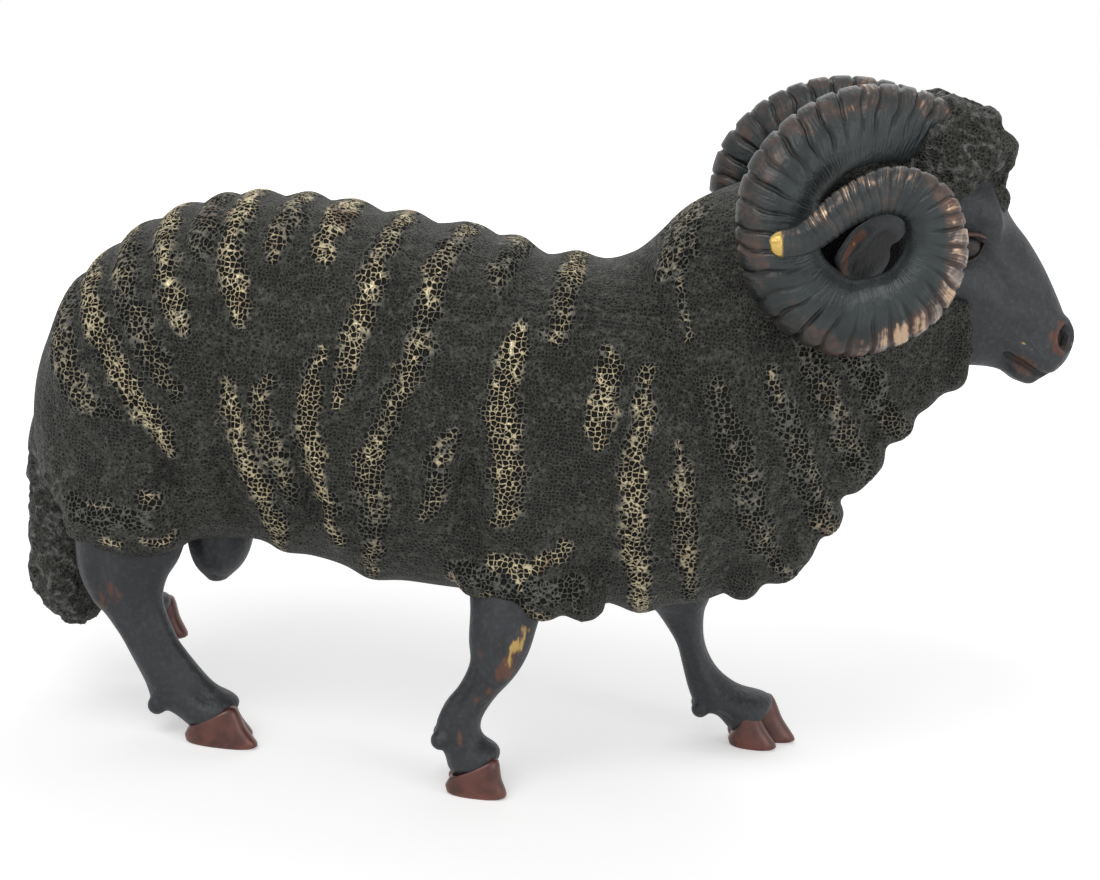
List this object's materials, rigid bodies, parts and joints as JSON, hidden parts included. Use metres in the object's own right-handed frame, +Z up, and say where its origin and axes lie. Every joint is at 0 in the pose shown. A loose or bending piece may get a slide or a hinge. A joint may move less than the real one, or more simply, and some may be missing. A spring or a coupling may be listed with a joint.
{
  "type": "ram figurine",
  "caption": "Cast bronze ram in walking pose with coiled ribbed horns and a deeply folded fleece, one hind foot lifted, standing free on its hooves",
  "frame": {"origin": "on the ground under the middle of the figure's bounding box, on the plane of the soles", "axes": "+X runs toward the head, +Z is up, and -Y is the ram's right side, which faces the camera in the picture"},
  "size_m": [0.2346, 0.095, 0.164],
  "materials": {
    "patinated_bronze": "dark green-brown patina over bronze, worn to pale brass on the fold crests and to copper on the horns and hooves"
  },
  "bodies": {
    "root": {"ram_casting": "patinated_bronze"}
  },
  "joints": []
}
